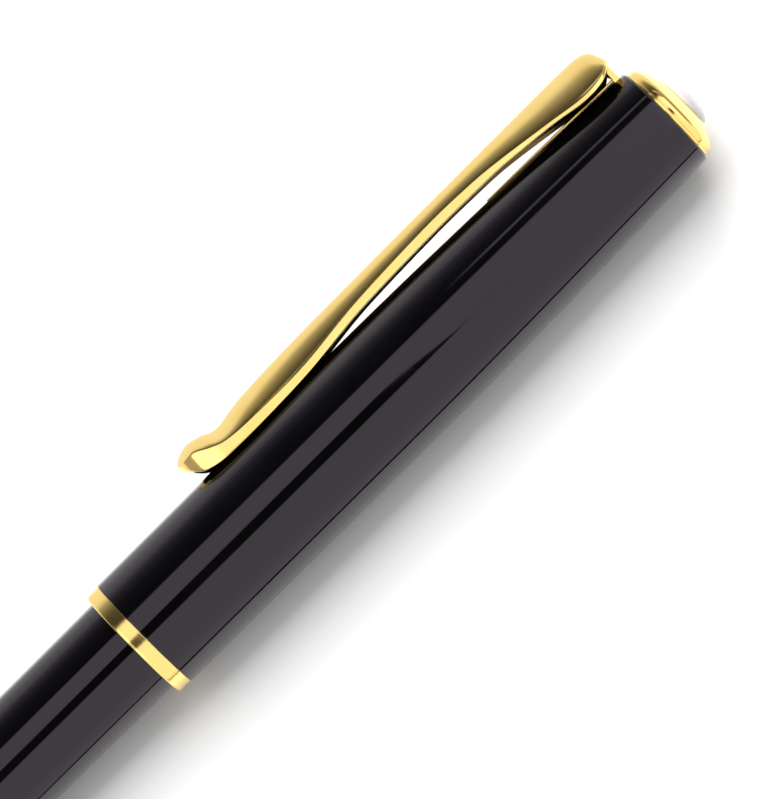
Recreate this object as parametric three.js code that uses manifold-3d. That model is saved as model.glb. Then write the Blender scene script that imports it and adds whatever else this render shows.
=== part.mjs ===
// A capped rollerball pen lying on its cap: black lacquered brass cap and barrel, gold-plated band,
// clip and crown with a white cabochon, a screw-in grip section and a replaceable sprung refill.
// The pen's axis runs along X, with x = 0 at the cap's mouth and +X towards the crown. The clip
// points to +Y. Outlines are [x, radius] pairs. Sizes are in millimetres.
import * as THREE from "three";
import { mergeVertices } from "three/addons/utils/BufferGeometryUtils.js";
import Module from "manifold-3d";

const wasm = await Module();
wasm.setup();

// Cap
const CAP_END = 62.5; // where the tube stops, under the crown
const CAP_WALL = 0.42;
const MOUTH_R = 5.583;
const BELLY_R = 5.633; // the cap is widest a little before its middle
const BELLY_X = 31;
const CAP_TAPER = 0.0325; // slope that the tube's taper settles to, towards the crown
const CAP_TAPER_LEAD = 14;
const BAND_WIDTH = 1.375;
const BAND_BORE_R = 4.92;
const INNER_CAP_MOUTH = 10.2;
const INNER_CAP_END = 51.6;
const INNER_CAP_BORE_R = 4.45;

// Crown
const CROWN_FLANGE_R = 4.75;
const CROWN_RIM_R = 2.8; // where the gold meets the cabochon
const CROWN_RIM_X = CAP_END + 1.82;
const CROWN_TOP = CAP_END + 2.88;
const CROWN_SPIGOT_X = 60.45;
const SCREW_R = 1.5;
const SCREW_HEAD_X = 49.7;

// Clip: stations along its length, from the upturned tip to the nose over the crown edge
const CLIP_STATIONS = [
  // x, half width, underside, crest (both heights above the pen's axis)
  [12.96, 0.12, 7.66, 7.82],
  [13.6, 1.55, 6.68, 8.38],
  [14.9, 2.45, 5.68, 8.7],
  [16.2, 2.74, 5.38, 8.42],
  [17.7, 2.85, 5.3, 7.94],
  [20.8, 2.87, 5.3, 8.34],
  [26.5, 2.48, 5.55, 8.58],
  [33.3, 1.96, 6.28, 8.66],
  [41.7, 1.7, 6.55, 8.73],
  [50, 2.18, 6.42, 8.8],
  [55, 3.08, 5.86, 8.8],
  [58.4, 3.58, 5.3, 8.8],
  [60.6, 3.42, 5.42, 8.7],
  [61.7, 2.72, 6.02, 8.2],
  [62.3, 1.5, 6.55, 7.1],
];
const CLIP_SHEET = 0.5; // thickness of the pressed metal
const CLIP_RIM = 0.7; // height of the upright edge under the dome
const TONGUE_X = [61.45, 62.05]; // the tongue's two faces
const TONGUE_HALF_WIDTH = 1.2;
const TONGUE_Y = [2.6, 7.3]; // from its inner end to where it joins the nose
const LEAF_X = [47, 61.7]; // the spring leaf's free end and its root in the tongue
const LEAF_THICKNESS = [0.12, 0.25]; // at those two ends
const LEAF_HALF_WIDTH = 1.15;
const SLOT_PLAY = 0.15;

// Barrel
const BARREL_R = 4.78; // at the cap's mouth
const BARREL_TAPER = 0.0032; // loss of radius per millimetre, towards the back
const BARREL_WALL = 0.38;
const BARREL_FRONT = 7;
const BARREL_BACK = -69;
const PEN_BACK = -71.6;
const END_FLAT_R = 2.6;

// Screw joint between barrel and section: five turns bring it apart
const THREAD_PITCH = 1;
const THREAD_DEPTH = 0.4;
const THREAD_R = 3.65; // mean radius of the section's thread
const THREAD_PLAY = 0.14;
const THREAD_START = 2;
const THREAD_END = 6.8;
const THREAD_ROWS_PER_TURN = 5;

// Grip section
const NIPPLE_R = 3.5;
const NIPPLE_END = 14;
const SECTION_BORE_R = 3.12;
const SECTION_BACK = 9.2;
const SECTION_FRONT = 38.2;
const SECTION_RING_R = 4.6;
const SPIGOT_END = 40.6;
const NOSE_END = 46.2;

// Refill: 110.5 mm long and 6 mm across
const REFILL_R = 3;
const REFILL_BACK = -62;
const REFILL_TUBE = [-60.5, 39];
const REFILL_SHOULDER = 42;
const TIP_BACK = 42.8;
const BALL_X = 48.1;
const BALL_R = 0.4;
const WIRE_R = 0.25;
const SPRING_R = 2.9;
const SPRING_TURNS = 4.5;
const SPRING_X = [-67.1, -62.9]; // centres of the wire at its two ends

const SEGMENTS = 40; // round the outside of the pen
const INNER_SEGMENTS = 24;
const PLAY = 0.05; // gap left between a piece and the neighbour that it is pressed into

const finish = (color, roughness, metalness) => () =>
  new THREE.MeshStandardMaterial({ color, roughness, metalness });
const blackLacquer = finish(0x0b0a0b, 0.08, 0);
const goldPlate = finish(0xe2b64e, 0.14, 1);
const whiteCabochon = finish(0xf0ece8, 0.35, 0);
const plainBrass = finish(0xb08d45, 0.4, 1);
const springSteel = finish(0xb9bbbd, 0.3, 1);
const blackPlastic = finish(0x141414, 0.5, 0);
const palePlastic = finish(0xd9d9d2, 0.45, 0);
const inkFibre = finish(0x1a2140, 0.9, 0);
const blackRubber = finish(0x101010, 0.8, 0);

/** A solid turned about the pen's axis from an outline that starts and ends on it, or closes. */
function turned(outline, segments = SEGMENTS) {
  const points = outline.map(([x, r]) => new THREE.Vector2(r, x));
  if (THREE.ShapeUtils.area(points) < 0) points.reverse();
  if (points[0].x > 0 || points.at(-1).x > 0) points.push(points[0].clone());
  return new THREE.LatheGeometry(points, segments).rotateZ(-Math.PI / 2);
}

/** A turned solid for a piece inside the pen. */
const turnedInner = (outline) => turned(outline, INNER_SEGMENTS);

/** A block between two opposite corners. */
function block([x0, x1], [y0, y1], [z0, z1]) {
  const geometry = new THREE.BoxGeometry(x1 - x0, y1 - y0, z1 - z0);
  return geometry.translate((x0 + x1) / 2, (y0 + y1) / 2, (z0 + z1) / 2);
}

/** A closed geometry as a solid that can be cut and joined. */
function solid(geometry) {
  const bare = geometry.clone();
  bare.deleteAttribute("normal");
  bare.deleteAttribute("uv");
  const merged = mergeVertices(bare, 1e-4);
  return new wasm.Manifold(
    new wasm.Mesh({
      numProp: 3,
      vertProperties: new Float32Array(merged.attributes.position.array),
      triVerts: new Uint32Array(merged.index.array),
    }),
  );
}

/** A solid's surface as a geometry. */
function surface(shape) {
  const mesh = shape.getMesh();
  const geometry = new THREE.BufferGeometry();
  geometry.setAttribute("position", new THREE.BufferAttribute(mesh.vertProperties, 3));
  geometry.setIndex(new THREE.BufferAttribute(mesh.triVerts, 1));
  return geometry;
}

/** Evenly spaced numbers from one value to another, both included. */
function spaced(from, to, steps) {
  return Array.from({ length: steps + 1 }, (_, i) => from + ((to - from) * i) / steps);
}

/** The cap's outer radius: it swells slightly to its belly, then tapers towards the crown. */
function capRadius(x) {
  if (x < BELLY_X) return BELLY_R - (BELLY_R - MOUTH_R) * (1 - x / BELLY_X) ** 2;
  return BELLY_R - CAP_TAPER * (Math.hypot(x - BELLY_X, CAP_TAPER_LEAD) - CAP_TAPER_LEAD);
}

const capBore = (x) => capRadius(x) - CAP_WALL;
const barrelRadius = (x) => BARREL_R + BARREL_TAPER * x;

// ---- cap ----

/** The cap's tube, with the slot that the clip's tongue goes through. */
function capTube() {
  const chamfer = 0.1;
  const start = BAND_WIDTH + 0.025;
  const outside = spaced(start, CAP_END - chamfer, 7).map((x) => [x, capRadius(x)]);
  const inside = spaced(CAP_END, start, 4).map((x) => [x, capBore(x)]);
  const edge = [CAP_END, capRadius(CAP_END) - chamfer];
  const slotX = [TONGUE_X[0] - SLOT_PLAY, TONGUE_X[1] + SLOT_PLAY];
  const halfSlot = TONGUE_HALF_WIDTH + SLOT_PLAY;
  const slot = block(slotX, [3, 7], [-halfSlot, halfSlot]);
  return surface(solid(turned([...outside, edge, ...inside])).subtract(solid(slot)));
}

/** The gold band at the cap's mouth, with the spigot that holds it in the tube. */
function capBand() {
  const round = 0.22;
  const spigotR = capBore(BAND_WIDTH) - PLAY;
  return turned([
    [0, BAND_BORE_R],
    [0, MOUTH_R - round],
    [round * 0.3, MOUTH_R - round * 0.3],
    [round, MOUTH_R],
    [BAND_WIDTH, MOUTH_R],
    [BAND_WIDTH, spigotR],
    [4.2, spigotR],
    [4.2, BAND_BORE_R],
  ]);
}

/** The plastic liner that closes over the writing tip, with a hole for the crown screw. */
function innerCap() {
  const floor = INNER_CAP_END - 1;
  const outside = spaced(INNER_CAP_MOUTH, INNER_CAP_END, 6).map((x) => [x, capBore(x) - PLAY]);
  return turnedInner([
    ...outside,
    [INNER_CAP_END, SCREW_R + PLAY],
    [floor, SCREW_R + PLAY],
    [floor, INNER_CAP_BORE_R],
    [INNER_CAP_MOUTH + 1.5, INNER_CAP_BORE_R],
    [INNER_CAP_MOUTH, SECTION_RING_R],
  ]);
}

/** The split spring ring that clicks over the section's ring and lets the cap turn. */
function clutchRing() {
  const ring = turnedInner([
    [7.9, SECTION_RING_R + 0.1],
    [7.9, 4.98],
    [8.1, 5.1],
    [8.9, 5.1],
    [9.1, 4.98],
    [9.1, SECTION_RING_R + 0.1],
    [8.5, SECTION_RING_R + 0.06],
  ]);
  const split = block([7, 10], [-6, -4], [-0.4, 0.4]);
  return surface(solid(ring).subtract(solid(split)));
}

/** The brass bush pressed into the tube's upper end, which the clip's tongue rests over. */
function crownBush() {
  const [from, to] = [56, 60.4];
  const holeR = SCREW_R + PLAY;
  return turnedInner([
    [from, holeR],
    [from, capBore(from) - PLAY],
    [to, capBore(to) - PLAY],
    [to, holeR],
  ]);
}

/** The slotted screw that pulls the crown down from inside the cap. */
function crownScrew() {
  const [neck, end] = [SCREW_HEAD_X + 0.85, CAP_END + 0.4];
  const screw = turned(
    [
      [SCREW_HEAD_X, 0],
      [SCREW_HEAD_X, 2.4],
      [SCREW_HEAD_X + 0.2, 2.6],
      [neck, 2.6],
      [neck, SCREW_R],
      [end - 0.3, SCREW_R],
      [end, SCREW_R - 0.3],
      [end, 0],
    ],
    24,
  );
  const driverSlot = block([SCREW_HEAD_X - 1, SCREW_HEAD_X + 0.4], [-4, 4], [-0.3, 0.3]);
  return surface(solid(screw).subtract(solid(driverSlot)));
}

/** The gold dome ring over the tube's end, keyed to the clip's tongue by a notch in its spigot. */
function crownRing() {
  const spigotR = capBore(CAP_END) - PLAY;
  const base = CAP_END + 0.03;
  const pocketX = CROWN_RIM_X - 0.9;
  const ring = turned([
    [CROWN_SPIGOT_X, SCREW_R + PLAY],
    [CROWN_SPIGOT_X, spigotR],
    [base, spigotR],
    [base, CROWN_FLANGE_R - 0.05],
    [base + 0.08, CROWN_FLANGE_R],
    [base + 0.2, CROWN_FLANGE_R],
    [base + 0.27, CROWN_FLANGE_R - 0.12],
    [base + 0.36, CROWN_FLANGE_R - 0.08],
    [base + 0.7, CROWN_FLANGE_R - 0.12],
    [base + 1.05, CROWN_FLANGE_R - 0.4],
    [base + 1.38, CROWN_FLANGE_R - 0.92],
    [base + 1.62, CROWN_FLANGE_R - 1.45],
    [CROWN_RIM_X, CROWN_RIM_R],
    [CROWN_RIM_X - 0.1, CROWN_RIM_R - 0.25],
    [pocketX, CROWN_RIM_R - 0.25],
    [pocketX, SCREW_R + PLAY],
  ]);
  const halfNotch = TONGUE_HALF_WIDTH + 2 * SLOT_PLAY;
  const notch = block([CROWN_SPIGOT_X - 1, base - 0.05], [2.1, 5], [-halfNotch, halfNotch]);
  return surface(solid(ring).subtract(solid(notch)));
}

/** The white cabochon set in the crown. */
function crownCabochon() {
  const [stoneR, domeR] = [CROWN_RIM_R - 0.25 - PLAY, CROWN_RIM_R - 0.05];
  const base = CROWN_RIM_X + 0.02;
  const dome = spaced(0, Math.PI / 2, 6).map((turn) => [
    base + (CROWN_TOP - base) * Math.sin(turn),
    domeR * Math.cos(turn),
  ]);
  dome[dome.length - 1] = [CROWN_TOP, 0];
  return turned([[base - 0.8, 0], [base - 0.8, stoneR], [base, stoneR], ...dome]);
}

/** A lofted dome along the clip, set in by a margin, reaching down from its rim by a skirt. */
function clipDome(margin, skirt) {
  const lower = CLIP_STATIONS.map(([x, w, under]) => new THREE.Vector3(x, w, under));
  const upper = CLIP_STATIONS.map(([x, , , crest]) => new THREE.Vector3(x, crest, 0));
  const [rim, crest] = [lower, upper].map(
    (points) => new THREE.CatmullRomCurve3(points, false, "catmullrom", 0.5),
  );
  const inset = 2 * margin;
  const dome = new THREE.CylinderGeometry(1, 1, 1, 12, 28);
  const p = dome.attributes.position;
  for (let i = 0; i < p.count; i++) {
    const along = THREE.MathUtils.lerp(0.1 * inset, 1 - 0.2 * inset, p.getY(i) + 0.5);
    const edge = rim.getPoint(along);
    const width = Math.max(edge.y - margin, 0.05);
    const top = Math.max(crest.getPoint(along).y - margin, edge.z + 0.05);
    const shoulder = edge.z + Math.min(CLIP_RIM, (top - edge.z) / 2);
    const [side, up] = [-p.getZ(i), p.getX(i)];
    const reach = up < 0 ? Math.sign(side) * Math.abs(side) ** 0.2 : side;
    const [limit, share] = up < 0 ? [edge.z - skirt, -up] : [top, up ** 1.15];
    const height = THREE.MathUtils.lerp(shoulder, limit, share);
    p.setXYZ(i, edge.x, height, width * reach);
  }
  return dome;
}

/** The spring leaf that runs from the tongue along the cap, under the dome. */
function clipLeaf() {
  const leaf = new THREE.BoxGeometry(1, 1, 2 * LEAF_HALF_WIDTH, 8, 1, 1);
  const p = leaf.attributes.position;
  for (let i = 0; i < p.count; i++) {
    const along = p.getX(i) + 0.5;
    const x = THREE.MathUtils.lerp(...LEAF_X, along);
    const rise = (p.getY(i) + 0.5) * THREE.MathUtils.lerp(...LEAF_THICKNESS, along);
    p.setXY(i, x, capRadius(x) + PLAY + rise);
  }
  return leaf;
}

/** The gold clip: a dome, hollow underneath, its leaf, and the tongue that enters the cap. */
function clip() {
  const halfWidth = [-TONGUE_HALF_WIDTH, TONGUE_HALF_WIDTH];
  const pressing = solid(clipDome(0, 0)).subtract(solid(clipDome(CLIP_SHEET, 1)));
  const spring = solid(clipLeaf()).add(solid(block(TONGUE_X, TONGUE_Y, halfWidth)));
  return surface(pressing.add(spring));
}

// ---- screw joint ----

/** Gives the wall at one radius a right-handed thread. */
function threaded(geometry, wallR) {
  const p = geometry.attributes.position;
  for (let i = 0; i < p.count; i++) {
    const [x, y, z] = [p.getX(i), p.getY(i), p.getZ(i)];
    const r = Math.hypot(y, z);
    if (Math.abs(r - wallR) > 1e-3) continue;
    const phase = (2 * Math.PI * x) / THREAD_PITCH - Math.atan2(z, y);
    const scale = 1 + ((THREAD_DEPTH / 2) * Math.cos(phase)) / r;
    p.setXYZ(i, x, y * scale, z * scale);
  }
  return geometry;
}

/** The rows of a wall that is to be threaded. */
function threadRows(from, to, radius) {
  const rows = Math.round((Math.abs(to - from) * THREAD_ROWS_PER_TURN) / THREAD_PITCH);
  return spaced(from, to, rows).map((x) => [x, radius]);
}

/** The brass nipple in the section's back, with the outside thread. */
function sectionThread() {
  const outline = [
    [THREAD_START, SECTION_BORE_R],
    ...threadRows(THREAD_START, THREAD_END, THREAD_R),
    [THREAD_END + 0.05, 3.42],
    [8.2, 3.42],
    [8.3, NIPPLE_R],
    [NIPPLE_END, NIPPLE_R],
    [NIPPLE_END, SECTION_BORE_R],
  ];
  return threaded(turnedInner(outline), THREAD_R);
}

/** The brass bush in the barrel's mouth, with the inside thread. */
function barrelThreadBush() {
  const [from, to, wallR] = [1.4, BARREL_FRONT - 0.1, THREAD_R + THREAD_PLAY];
  const outerR = barrelRadius(from) - BARREL_WALL - PLAY;
  const outline = [[from, outerR], ...threadRows(from, to, wallR), [to, outerR]];
  return threaded(turnedInner(outline), wallR);
}

/** The rubber washer on the section's neck, which seals the screw joint. */
function sealWasher() {
  return turnedInner([
    [BARREL_FRONT + 0.05, NIPPLE_R],
    [BARREL_FRONT + 0.05, 4.5],
    [BARREL_FRONT + 0.6, 4.5],
    [BARREL_FRONT + 0.6, NIPPLE_R],
  ]);
}

// ---- grip section ----

/** The gold trim ring that the clutch ring clicks over. */
function sectionRing() {
  const [from, to] = [BARREL_FRONT + 0.7, SECTION_BACK - PLAY];
  return turned([
    [from, NIPPLE_R + PLAY],
    [from, SECTION_RING_R - 0.2],
    [from + 0.2, SECTION_RING_R],
    [to - 0.2, SECTION_RING_R],
    [to, SECTION_RING_R - 0.2],
    [to, NIPPLE_R + PLAY],
  ]);
}

/** The black grip, slightly waisted, with the spigot that carries the nose cone. */
function gripSection() {
  const socketEnd = NIPPLE_END + 0.2;
  return turned([
    [SECTION_BACK, NIPPLE_R + PLAY],
    [SECTION_BACK, 4.2],
    [SECTION_BACK + 0.2, 4.34],
    [16, 4.26],
    [24, 4.08],
    [31, 3.9],
    [SECTION_FRONT - 0.15, 3.82],
    [SECTION_FRONT, 3.7],
    [SECTION_FRONT, 3.36],
    [SPIGOT_END, 3.36],
    [SPIGOT_END, SECTION_BORE_R],
    [socketEnd, SECTION_BORE_R],
    [socketEnd, NIPPLE_R + PLAY],
  ]);
}

/** The gold nose cone, whose inner shoulder stops the refill. */
function noseCone() {
  const [from, shoulder] = [SECTION_FRONT + PLAY, REFILL_SHOULDER + PLAY];
  return turned([
    [from, 3.42],
    [from, 3.78],
    [SPIGOT_END + 0.4, 3.72],
    [42.6, 3.25],
    [44.6, 2.45],
    [NOSE_END - 0.25, 1.85],
    [NOSE_END, 1.7],
    [NOSE_END, 1.42],
    [45.6, 1.42],
    [44.8, 2.2],
    [shoulder, 2.2],
    [shoulder, SECTION_BORE_R],
    [SPIGOT_END + 0.1, SECTION_BORE_R],
    [SPIGOT_END + 0.1, 3.42],
  ]);
}

// ---- refill ----

/** The refill's metal tube. */
function refillTube() {
  const [back, front] = REFILL_TUBE;
  return turnedInner([
    [back, REFILL_R - 0.25],
    [back, REFILL_R],
    [front, REFILL_R],
    [front, REFILL_R - 0.25],
  ]);
}

/** The plug that closes the refill's back end. */
function refillEndPlug() {
  const back = REFILL_TUBE[0] - 0.03;
  return turnedInner([
    [REFILL_BACK, 0],
    [REFILL_BACK, REFILL_R - 0.3],
    [REFILL_BACK + 0.3, REFILL_R],
    [back, REFILL_R],
    [back, REFILL_R - 0.3],
    [back + 3, REFILL_R - 0.3],
    [back + 3, 0],
  ]);
}

/** The fibre rod that holds the ink. */
function inkReservoir() {
  return new THREE.CylinderGeometry(2.6, 2.6, 87, 20).rotateZ(-Math.PI / 2).translate(-13.5, 0, 0);
}

/** The wick that carries ink from the fibre rod to the tip. */
function feedWick() {
  return new THREE.CylinderGeometry(0.9, 0.9, 12.3, 12).rotateZ(-Math.PI / 2).translate(36.4, 0, 0);
}

/** The plastic front of the refill, which rests on the nose cone's shoulder. */
function refillFront() {
  const front = REFILL_TUBE[1];
  return turnedInner([
    [front - 3, 1.12],
    [front - 3, REFILL_R - 0.3],
    [front + 0.03, REFILL_R - 0.3],
    [front + 0.03, REFILL_R],
    [REFILL_SHOULDER, REFILL_R],
    [REFILL_SHOULDER, 2.1],
    [44.6, 2.1],
    [45.15, 1.5],
    [45.15, 1.12],
  ]);
}

/** The metal writing tip, with the ink channel and the socket that holds the ball. */
function refillTip() {
  const lip = BALL_X + 0.12;
  return turned(
    [
      [TIP_BACK, 0.2],
      [TIP_BACK, 1.07],
      [45.2, 1.07],
      [45.2, 1.25],
      [45.7, 1.25],
      [46.3, 1.05],
      [lip - 0.25, 0.52],
      [lip, 0.46],
      [lip, 0.395],
      [BALL_X, 0.43],
      [BALL_X - 0.2, 0.38],
      [BALL_X - 0.35, 0.25],
      [BALL_X - 0.4, 0.2],
    ],
    20,
  );
}

/** The hard ball that rolls in the tip. */
function tipBall() {
  return new THREE.SphereGeometry(BALL_R, 16, 12).translate(BALL_X, 0, 0);
}

/** A helix about the pen's axis. */
class Coil extends THREE.Curve {
  getPoint(t, target = new THREE.Vector3()) {
    const turn = 2 * Math.PI * SPRING_TURNS * t;
    const x = THREE.MathUtils.lerp(SPRING_X[0], SPRING_X[1], t);
    return target.set(x, SPRING_R * Math.cos(turn), SPRING_R * Math.sin(turn));
  }
}

/** The coil spring that pushes the refill forward. */
function refillSpring() {
  const wire = new THREE.Shape(new THREE.Path().absarc(0, 0, WIRE_R, 0, 2 * Math.PI).getPoints(3));
  const steps = 16 * SPRING_TURNS;
  return new THREE.ExtrudeGeometry(wire, { steps, extrudePath: new Coil(), curveSegments: 3 });
}

/** The plastic cup between the spring and the refill. */
function springCup() {
  const floor = REFILL_BACK - 0.6;
  return turnedInner([
    [REFILL_BACK - PLAY, 0],
    [REFILL_BACK - PLAY, 3.9],
    [REFILL_BACK - 2.2, 3.9],
    [REFILL_BACK - 2.2, 3.5],
    [floor, 3.5],
    [floor, 0],
  ]);
}

// ---- barrel ----

/** The barrel's tube, tapering slightly towards the back. */
function barrelTube() {
  return turned([
    [BARREL_BACK, barrelRadius(BARREL_BACK) - BARREL_WALL],
    [BARREL_BACK, barrelRadius(BARREL_BACK)],
    [BARREL_FRONT - 0.15, barrelRadius(BARREL_FRONT)],
    [BARREL_FRONT, barrelRadius(BARREL_FRONT) - 0.1],
    [BARREL_FRONT, barrelRadius(BARREL_FRONT) - BARREL_WALL],
  ]);
}

/** The brass ring pressed into the barrel's back end, which the end plug screws into. */
function barrelEndBush() {
  const [from, to] = [BARREL_BACK + 0.1, BARREL_BACK + 3];
  const outerR = barrelRadius(BARREL_BACK) - BARREL_WALL - PLAY;
  return turnedInner([
    [from, 3.3],
    [from, outerR],
    [to, outerR],
    [to, 3.3],
  ]);
}

/** The gold end plug with its flat end and the face that the spring stands on. */
function barrelEndPlug() {
  const edgeR = barrelRadius(BARREL_BACK);
  const back = BARREL_BACK - 0.03;
  const shoulder = spaced(0, Math.PI / 2, 5).map((turn) => [
    PEN_BACK + (back - 0.5 - PEN_BACK) * (1 - Math.cos(turn)),
    END_FLAT_R + (edgeR - END_FLAT_R) * Math.sin(turn),
  ]);
  const face = BARREL_BACK + 1.6;
  return turned([
    [PEN_BACK, 0],
    ...shoulder,
    [back, edgeR],
    [back, 3.25],
    [face, 3.25],
    [face, 0],
  ]);
}

// ---- assembly ----

const pen = new THREE.Group();

/** Adds a named piece to the pen. */
function add(name, geometry, material) {
  const piece = new THREE.Mesh(geometry, material());
  piece.name = name;
  pen.add(piece);
}

add("cap_tube", capTube(), blackLacquer);
add("cap_band", capBand(), goldPlate);
add("inner_cap", innerCap(), blackPlastic);
add("clutch_ring", clutchRing(), springSteel);
add("crown_bush", crownBush(), plainBrass);
add("crown_screw", crownScrew(), plainBrass);
add("crown_ring", crownRing(), goldPlate);
add("crown_cabochon", crownCabochon(), whiteCabochon);
add("clip", clip(), goldPlate);

add("seal_washer", sealWasher(), blackRubber);
add("section_thread", sectionThread(), plainBrass);
add("section_ring", sectionRing(), goldPlate);
add("grip_section", gripSection(), blackLacquer);
add("nose_cone", noseCone(), goldPlate);

add("refill_tube", refillTube(), springSteel);
add("refill_end_plug", refillEndPlug(), palePlastic);
add("ink_reservoir", inkReservoir(), inkFibre);
add("feed_wick", feedWick(), inkFibre);
add("refill_front", refillFront(), palePlastic);
add("refill_tip", refillTip(), springSteel);
add("tip_ball", tipBall(), springSteel);
add("refill_spring", refillSpring(), springSteel);
add("spring_cup", springCup(), blackPlastic);

add("barrel_tube", barrelTube(), blackLacquer);
add("barrel_thread_bush", barrelThreadBush(), plainBrass);
add("barrel_end_bush", barrelEndBush(), plainBrass);
add("barrel_end_plug", barrelEndPlug(), goldPlate);

// The origin is the bottom centre of the pen's box, on the surface that the cap lies on.
const box = new THREE.Box3().setFromObject(pen, true);
const middle = box.getCenter(new THREE.Vector3());
pen.position.set(-middle.x, -middle.y, -box.min.z);

export default pen;
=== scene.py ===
"""Looks of a capped rollerball pen: black lacquer, gold plate and a white cabochon in a pale studio."""

import math

import bmesh
import bpy
import numpy as np
from mathutils import Matrix, Vector
from mathutils.kdtree import KDTree


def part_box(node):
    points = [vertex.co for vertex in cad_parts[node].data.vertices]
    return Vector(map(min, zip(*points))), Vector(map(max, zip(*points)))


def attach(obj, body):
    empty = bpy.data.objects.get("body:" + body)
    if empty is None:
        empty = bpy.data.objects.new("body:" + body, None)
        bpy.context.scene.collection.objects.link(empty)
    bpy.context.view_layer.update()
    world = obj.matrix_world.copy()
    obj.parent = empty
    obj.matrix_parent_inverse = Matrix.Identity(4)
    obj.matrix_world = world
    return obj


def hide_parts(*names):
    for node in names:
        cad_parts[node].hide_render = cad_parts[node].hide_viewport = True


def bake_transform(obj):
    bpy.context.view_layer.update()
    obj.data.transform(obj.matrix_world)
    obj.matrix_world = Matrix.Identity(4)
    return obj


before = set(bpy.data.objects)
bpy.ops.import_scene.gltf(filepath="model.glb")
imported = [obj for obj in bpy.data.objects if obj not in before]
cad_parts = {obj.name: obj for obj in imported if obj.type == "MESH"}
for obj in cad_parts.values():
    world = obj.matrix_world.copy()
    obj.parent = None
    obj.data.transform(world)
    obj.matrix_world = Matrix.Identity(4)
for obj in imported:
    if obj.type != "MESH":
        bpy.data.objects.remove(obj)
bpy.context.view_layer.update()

# Sizes are in millimetres. The pen's axis runs along X, with x = 0 at the cap's mouth and +X
# towards the crown. The clip points to +Y. Outlines are (x, radius) or (x, radius, rounding).
MM = 0.001
band_low, band_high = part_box("cap_band")
MOUTH = np.array([band_low.x, (band_low.y + band_high.y) / 2, (band_low.z + band_high.z) / 2])

SEGMENTS = 240
INNER_SEGMENTS = 120
SHARP = math.radians(32)
MERGE_DISTANCE = 1e-8  # metres
SAME_POINT = 1e-6  # metres

# Cap
CAP_END = 62.5
CAP_WALL = 0.42
MOUTH_R = 5.583
BELLY_R = 5.633
BELLY_X = 31
CAP_TAPER = 0.0325
CAP_TAPER_LEAD = 14
BAND_WIDTH = 1.375
BAND_BORE_R = 4.92

# Crown
CROWN_FLANGE_R = 4.75
CROWN_RIM_R = 2.8
CROWN_RIM_X = CAP_END + 1.82
CROWN_TOP = CAP_END + 2.88
SCREW_R = 1.5
SCREW_HEAD_X = 49.7

# Clip: x, half width of the lower edge and of the shoulder, then the heights above the pen's axis of
# the lower edge, the shoulder and the crest
CLIP_STATIONS = [
    (12.96, 0.10, 0.09, 7.66, 7.72, 7.82),
    (13.15, 0.78, 0.72, 7.15, 7.62, 8.08),
    (13.6, 1.50, 1.38, 6.68, 7.66, 8.38),
    (14.3, 2.12, 1.96, 6.02, 7.62, 8.62),
    (15.0, 2.46, 2.30, 5.66, 7.50, 8.70),
    (16.2, 2.74, 2.62, 5.38, 6.86, 8.42),
    (17.7, 2.86, 2.78, 5.30, 6.34, 7.92),
    (20.8, 2.86, 2.79, 5.30, 6.14, 8.34),
    (26.5, 2.46, 2.40, 5.55, 6.20, 8.58),
    (33.3, 1.94, 1.88, 6.28, 6.96, 8.66),
    (41.7, 1.70, 1.63, 6.55, 7.34, 8.72),
    (46.7, 1.80, 1.73, 6.52, 7.24, 8.74),
    (50.0, 2.17, 2.12, 6.42, 6.92, 8.76),
    (55.0, 3.08, 3.04, 5.86, 6.14, 8.78),
    (58.4, 3.55, 3.51, 5.30, 5.60, 8.78),
    (60.6, 3.40, 3.36, 5.42, 5.72, 8.68),
    (61.6, 2.82, 2.78, 5.95, 6.26, 8.28),
    (62.1, 2.12, 2.09, 6.35, 6.58, 7.60),
    (62.36, 1.21, 1.19, 6.60, 6.71, 6.95),
]
CLIP_SHEET = 0.5
CLIP_ROWS = 400
CLIP_HOLLOW_X = (13.4, 61.9)  # where the hollow underneath starts and ends
CLIP_HOLLOW_RUN = (2.2, 1.2)  # how far in from those two ends it reaches its full depth
CLIP_PAINTED_SHADE_FROM = 0.05  # share of the full depth from which the hollow's walls get painted shade
CLIP_CORNER = 0.07
CLIP_ROOF = 1.3  # how nearly the dome's flanks are flat: 1 is a gable, 2 is an ellipse
CLIP_RIDGE = 0.2  # rounding of the ridge, as a share of the half width
LEAF_X = (47, 61.7)  # the spring leaf's free end and its root
LEAF_THICKNESS = (0.07, 0.25)  # at those two ends
LEAF_HALF_WIDTH = 1.15
TONGUE_X = (61.45, 62.05)
TONGUE_HALF_WIDTH = 1.2
TONGUE_Y = (2.6, 7.3)
SLOT_PLAY = 0.15

# Barrel and screw joint
BARREL_R = 4.78
BARREL_TAPER = 0.0032
BARREL_WALL = 0.38
BARREL_FRONT = 7
BARREL_BACK = -69
PEN_BACK = -71.6
END_FLAT_R = 2.6
THREAD_PITCH = 1
THREAD_DEPTH = 0.4
THREAD_R = 3.65
THREAD_PLAY = 0.14

# Grip section and refill
NIPPLE_R = 3.5
NIPPLE_END = 14
SECTION_BORE_R = 3.12
SECTION_BACK = 9.2
SECTION_FRONT = 38.2
SECTION_RING_R = 4.6
SPIGOT_END = 40.6
NOSE_END = 46.2
REFILL_R = 3
REFILL_BACK = -62
REFILL_TUBE = (-60.5, 39)
REFILL_SHOULDER = 42
BALL_X = 48.1
BALL_R = 0.4
WIRE_R = 0.25
SPRING_R = 2.9
SPRING_TURNS = 4.5
SPRING_X = (-67.1, -62.9)
PLAY = 0.05


# ---- materials ----


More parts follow.
